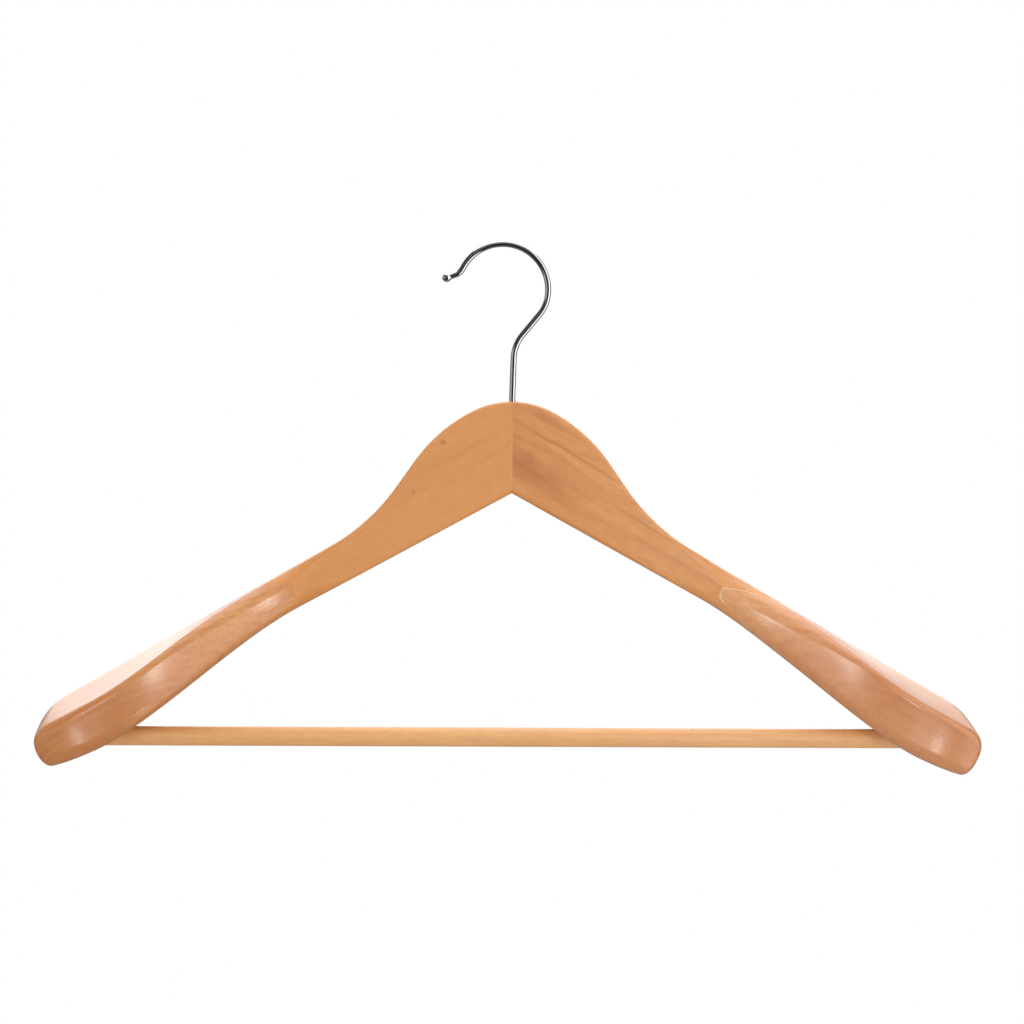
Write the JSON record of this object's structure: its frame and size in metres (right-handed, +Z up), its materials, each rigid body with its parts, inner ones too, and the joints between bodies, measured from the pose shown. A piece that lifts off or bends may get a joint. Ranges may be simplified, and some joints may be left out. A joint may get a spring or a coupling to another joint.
{
  "type": "wooden jacket hanger",
  "caption": "Wooden jacket hanger with broad curved shoulders, a fixed trouser bar and a swivelling steel hook with a ball tip.",
  "frame": {"origin": "the crest inside the hook, where the rail touches it", "axes": "+Z up along the hook's shank, +X to the right as seen from the front, -Y out of the front, the side to which the shoulders curve"},
  "size_m": [0.4494, 0.047, 0.2543],
  "materials": {
    "pale_wood": "clear satin varnish on pale beech",
    "red_wood": "clear satin varnish on redder beech",
    "bar_wood": "clear satin varnish",
    "dowel_wood": "bare wood",
    "chrome": "polished chrome plate",
    "nail_steel": "bright steel wire"
  },
  "bodies": {
    "hook": {"hook": "chrome"},
    "hanger": {"left_arm": "pale_wood", "right_arm": "red_wood", "left_shoulder_block": "pale_wood", "right_shoulder_block": "red_wood", "trouser_bar": "bar_wood", "hook_retaining_pin": "nail_steel", "upper_neck_dowel": "dowel_wood", "lower_neck_dowel": "dowel_wood", "left_bar_brad": "nail_steel", "right_bar_brad": "nail_steel"}
  },
  "joints": [
    {"name": "hook_swivel", "type": "hinge", "parent": "hook", "child": "hanger", "pos_m": [0.005, 0, -0.0749], "axis": [0, 0, 1], "continuous": true}
  ]
}
